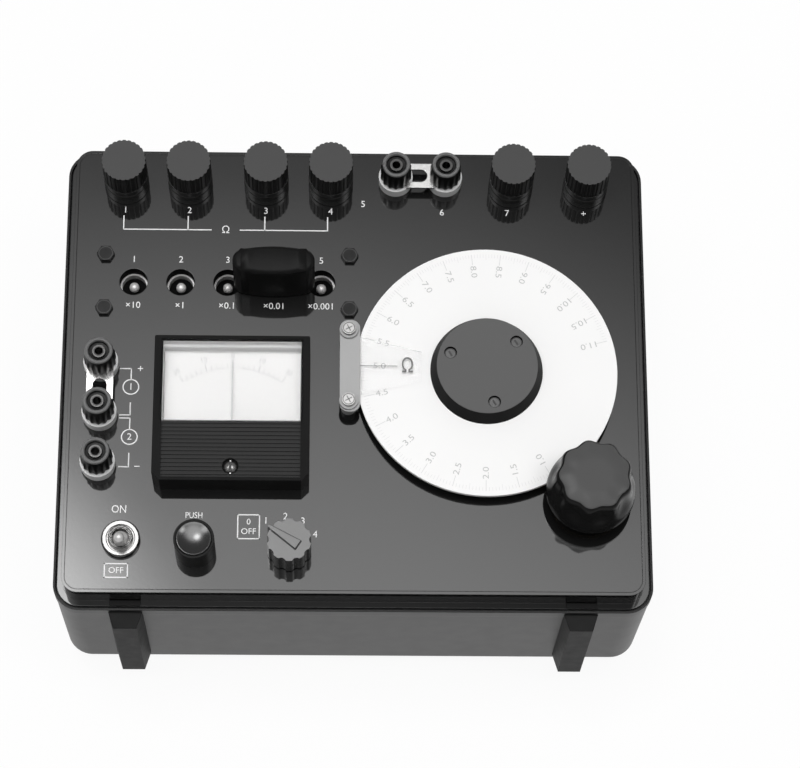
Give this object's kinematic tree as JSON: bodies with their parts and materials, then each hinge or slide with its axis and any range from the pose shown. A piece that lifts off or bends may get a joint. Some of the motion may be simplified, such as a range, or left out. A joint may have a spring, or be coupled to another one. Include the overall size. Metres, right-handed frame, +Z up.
{
  "type": "portable resistance bridge",
  "caption": "Portable bench bridge for measuring low resistances: black moulded case, raised panel with slide-wire dial, centre-zero meter, terminals and plug sockets.",
  "frame": {"origin": "on the standing plane, under the middle of the bounding box", "axes": "+Z up, -Y towards the user, +X to the user's right"},
  "size_m": [0.29, 0.2482, 0.1476],
  "materials": {
    "case_black": "satin moulded black",
    "foot_black": "matt black moulding",
    "panel_black": "polished black sheet",
    "knob_black": "moulded black",
    "meter_black": "moulded black, ribbed apron",
    "nickel": "nickel plate",
    "dark_steel": "blackened steel",
    "brass_work": "turned brass",
    "insulation": "phenolic insulation",
    "dial_white": "white enamelled sheet",
    "clear": "clear acrylic",
    "grey_alloy": "satin grey casting",
    "pointer_black": "black paint",
    "rubber": "black rubber",
    "cell_jacket": "plain steel jacket"
  },
  "bodies": {
    "base": {"case_tub": "case_black", "panel_frame": "case_black", "battery_cover": "case_black", "battery_box": "case_black", "front_feet": "foot_black", "lid_catches": "foot_black", "panel_plate": "panel_black", "button_housing": "knob_black", "terminal_collars": "knob_black", "socket_block": "knob_black", "meter_case": "meter_black", "small_collars": "nickel", "small_studs": "nickel", "terminal_studs": "nickel", "shorting_links": "nickel", "socket_rings": "nickel", "socket_pins": "nickel", "toggle_nut": "nickel", "toggle_body": "nickel", "cursor_screws": "nickel", "case_screws": "nickel", "block_bolts": "dark_steel", "meter_magnet": "dark_steel", "selector_body": "dark_steel", "shaft_bushes": "brass_work", "slidewire": "brass_work", "slidewire_former": "insulation", "ratio_coils": "insulation", "meter_scale": "dial_white", "meter_window": "clear", "cursor_window": "clear", "cursor_bracket": "grey_alloy", "bottom_feet": "rubber", "dry_cells": "cell_jacket"},
    "dial_unit": {"dial": "dial_white", "dial_hub": "knob_black", "hub_screws": "dark_steel", "dial_shaft": "brass_work", "wiper_arm": "brass_work"},
    "drive_unit": {"drive_knob": "knob_black", "drive_roller": "brass_work"},
    "toggle_unit": {"toggle_lever": "nickel"},
    "button_unit": {"push_button": "knob_black"},
    "selector_unit": {"selector_knob": "knob_black"},
    "plug_unit": {"plug_grip": "knob_black", "plug_sleeve": "dark_steel"},
    "pointer_unit": {"meter_pointer": "pointer_black"},
    "zero_unit": {"zero_screw": "dark_steel"},
    "terminal_1": {"terminal_cap_1": "knob_black"},
    "terminal_2": {"terminal_cap_2": "knob_black"},
    "terminal_3": {"terminal_cap_3": "knob_black"},
    "terminal_4": {"terminal_cap_4": "knob_black"},
    "terminal_5": {"terminal_cap_5": "knob_black"},
    "terminal_6": {"terminal_cap_6": "knob_black"},
    "jack_1": {"small_cap_1": "knob_black"},
    "jack_2": {"small_cap_2": "knob_black"},
    "jack_3": {"small_cap_3": "knob_black"},
    "jack_4": {"small_cap_4": "knob_black"},
    "jack_5": {"small_cap_5": "knob_black"}
  },
  "joints": [
    {"name": "dial_turn", "type": "hinge", "parent": "base", "child": "dial_unit", "pos_m": [0.0641, 0.00013, 0.112], "axis": [0, 0, 1], "range_deg": [-125, 163]},
    {"name": "drive_turn", "type": "hinge", "parent": "base", "child": "drive_unit", "pos_m": [0.1134, -0.06187, 0.112], "axis": [0, 0, 1], "range_deg": [-690.8, 530.9]},
    {"name": "toggle_flip", "type": "hinge", "parent": "base", "child": "toggle_unit", "pos_m": [-0.112, -0.08488, 0.113], "axis": [-1, 0, 0], "range_deg": [0, 26]},
    {"name": "button_press", "type": "slide", "parent": "base", "child": "button_unit", "axis": [0, 0, -1], "range_m": [0, 0.004], "stiffness_N_per_m": 400},
    {"name": "selector_turn", "type": "hinge", "parent": "base", "child": "selector_unit", "pos_m": [-0.0311, -0.08947, 0.112], "axis": [0, 0, 1], "range_deg": [-120, 0]},
    {"name": "plug_pull", "type": "slide", "parent": "base", "child": "plug_unit", "axis": [0, 0, 1], "range_m": [0, 0.03]},
    {"name": "pointer_swing", "type": "hinge", "parent": "base", "child": "pointer_unit", "pos_m": [-0.0598, -0.04118, 0.112], "axis": [0, 0, 1], "range_deg": [-42, 42], "stiffness_Nm_per_rad": 0.0005},
    {"name": "zero_turn", "type": "hinge", "parent": "base", "child": "zero_unit", "pos_m": [-0.0598, -0.05167, 0.112], "axis": [0, 0, 1], "range_deg": [-60, 60]},
    {"name": "terminal_1_turn", "type": "hinge", "parent": "base", "child": "terminal_1", "pos_m": [-0.1149, 0.10312, 0.112], "axis": [0, 0, 1], "range_deg": [-20, 1440]},
    {"name": "terminal_2_turn", "type": "hinge", "parent": "base", "child": "terminal_2", "pos_m": [-0.083, 0.10312, 0.112], "axis": [0, 0, 1], "range_deg": [-20, 1440]},
    {"name": "terminal_3_turn", "type": "hinge", "parent": "base", "child": "terminal_3", "pos_m": [-0.0449, 0.10312, 0.112], "axis": [0, 0, 1], "range_deg": [-20, 1440]},
    {"name": "terminal_4_turn", "type": "hinge", "parent": "base", "child": "terminal_4", "pos_m": [-0.0126, 0.10312, 0.112], "axis": [0, 0, 1], "range_deg": [-20, 1440]},
    {"name": "terminal_5_turn", "type": "hinge", "parent": "base", "child": "terminal_5", "pos_m": [0.0778, 0.10312, 0.112], "axis": [0, 0, 1], "range_deg": [-20, 1440]},
    {"name": "terminal_6_turn", "type": "hinge", "parent": "base", "child": "terminal_6", "pos_m": [0.1153, 0.10312, 0.112], "axis": [0, 0, 1], "range_deg": [-20, 1440]},
    {"name": "jack_1_turn", "type": "hinge", "parent": "base", "child": "jack_1", "pos_m": [0.0198, 0.10412, 0.112], "axis": [0, 0, 1], "range_deg": [-20, 1440]},
    {"name": "jack_2_turn", "type": "hinge", "parent": "base", "child": "jack_2", "pos_m": [0.0445, 0.10412, 0.112], "axis": [0, 0, 1], "range_deg": [-20, 1440]},
    {"name": "jack_3_turn", "type": "hinge", "parent": "base", "child": "jack_3", "pos_m": [-0.1242, 0.00432, 0.112], "axis": [0, 0, 1], "range_deg": [-20, 1440]},
    {"name": "jack_4_turn", "type": "hinge", "parent": "base", "child": "jack_4", "pos_m": [-0.1242, -0.02117, 0.112], "axis": [0, 0, 1], "range_deg": [-20, 1440]},
    {"name": "jack_5_turn", "type": "hinge", "parent": "base", "child": "jack_5", "pos_m": [-0.1242, -0.04668, 0.112], "axis": [0, 0, 1], "range_deg": [-20, 1440]}
  ],
  "couplings": [
    {"joint": "drive_turn", "follows": "dial_turn", "ratio": -4.2073}
  ]
}
